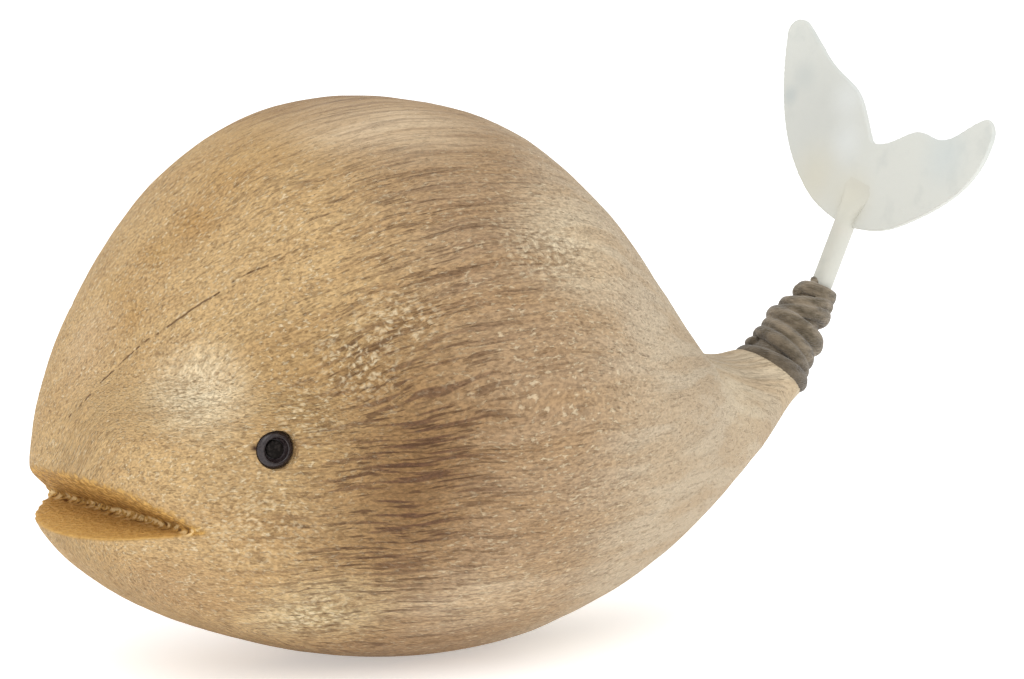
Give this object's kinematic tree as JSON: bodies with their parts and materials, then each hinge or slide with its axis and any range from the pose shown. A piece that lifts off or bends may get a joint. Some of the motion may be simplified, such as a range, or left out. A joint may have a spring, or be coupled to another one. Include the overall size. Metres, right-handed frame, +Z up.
{
  "type": "whale figurine",
  "caption": "Carved wooden whale with a notched mouth, bead eyes and a sheet fluke on a bent rod that is bound to the tail with thick cord.",
  "frame": {"origin": "centre of the small flat under the belly, on the surface that the whale rests on", "axes": "+X from the nose towards the tail, +Z up, the whale's left side towards -Y"},
  "size_m": [0.1964, 0.1105, 0.1176],
  "materials": {
    "carved_wood": "sanded matt softwood with open pores and a brown streak across the middle",
    "rod_paint": "matt off-white wash",
    "fluke_paint": "matt off-white wash with faint grey patches",
    "felt_cord": "grey-brown felted wool cord",
    "eye_bead": "black, satin",
    "eye_pin": "black lacquer, satin"
  },
  "bodies": {
    "root": {"body": "carved_wood", "tail_rod": "rod_paint", "tail_fluke": "fluke_paint", "tail_binding": "felt_cord", "left_eye_bead": "eye_bead", "right_eye_bead": "eye_bead", "left_eye_pin": "eye_pin", "right_eye_pin": "eye_pin"}
  },
  "joints": []
}
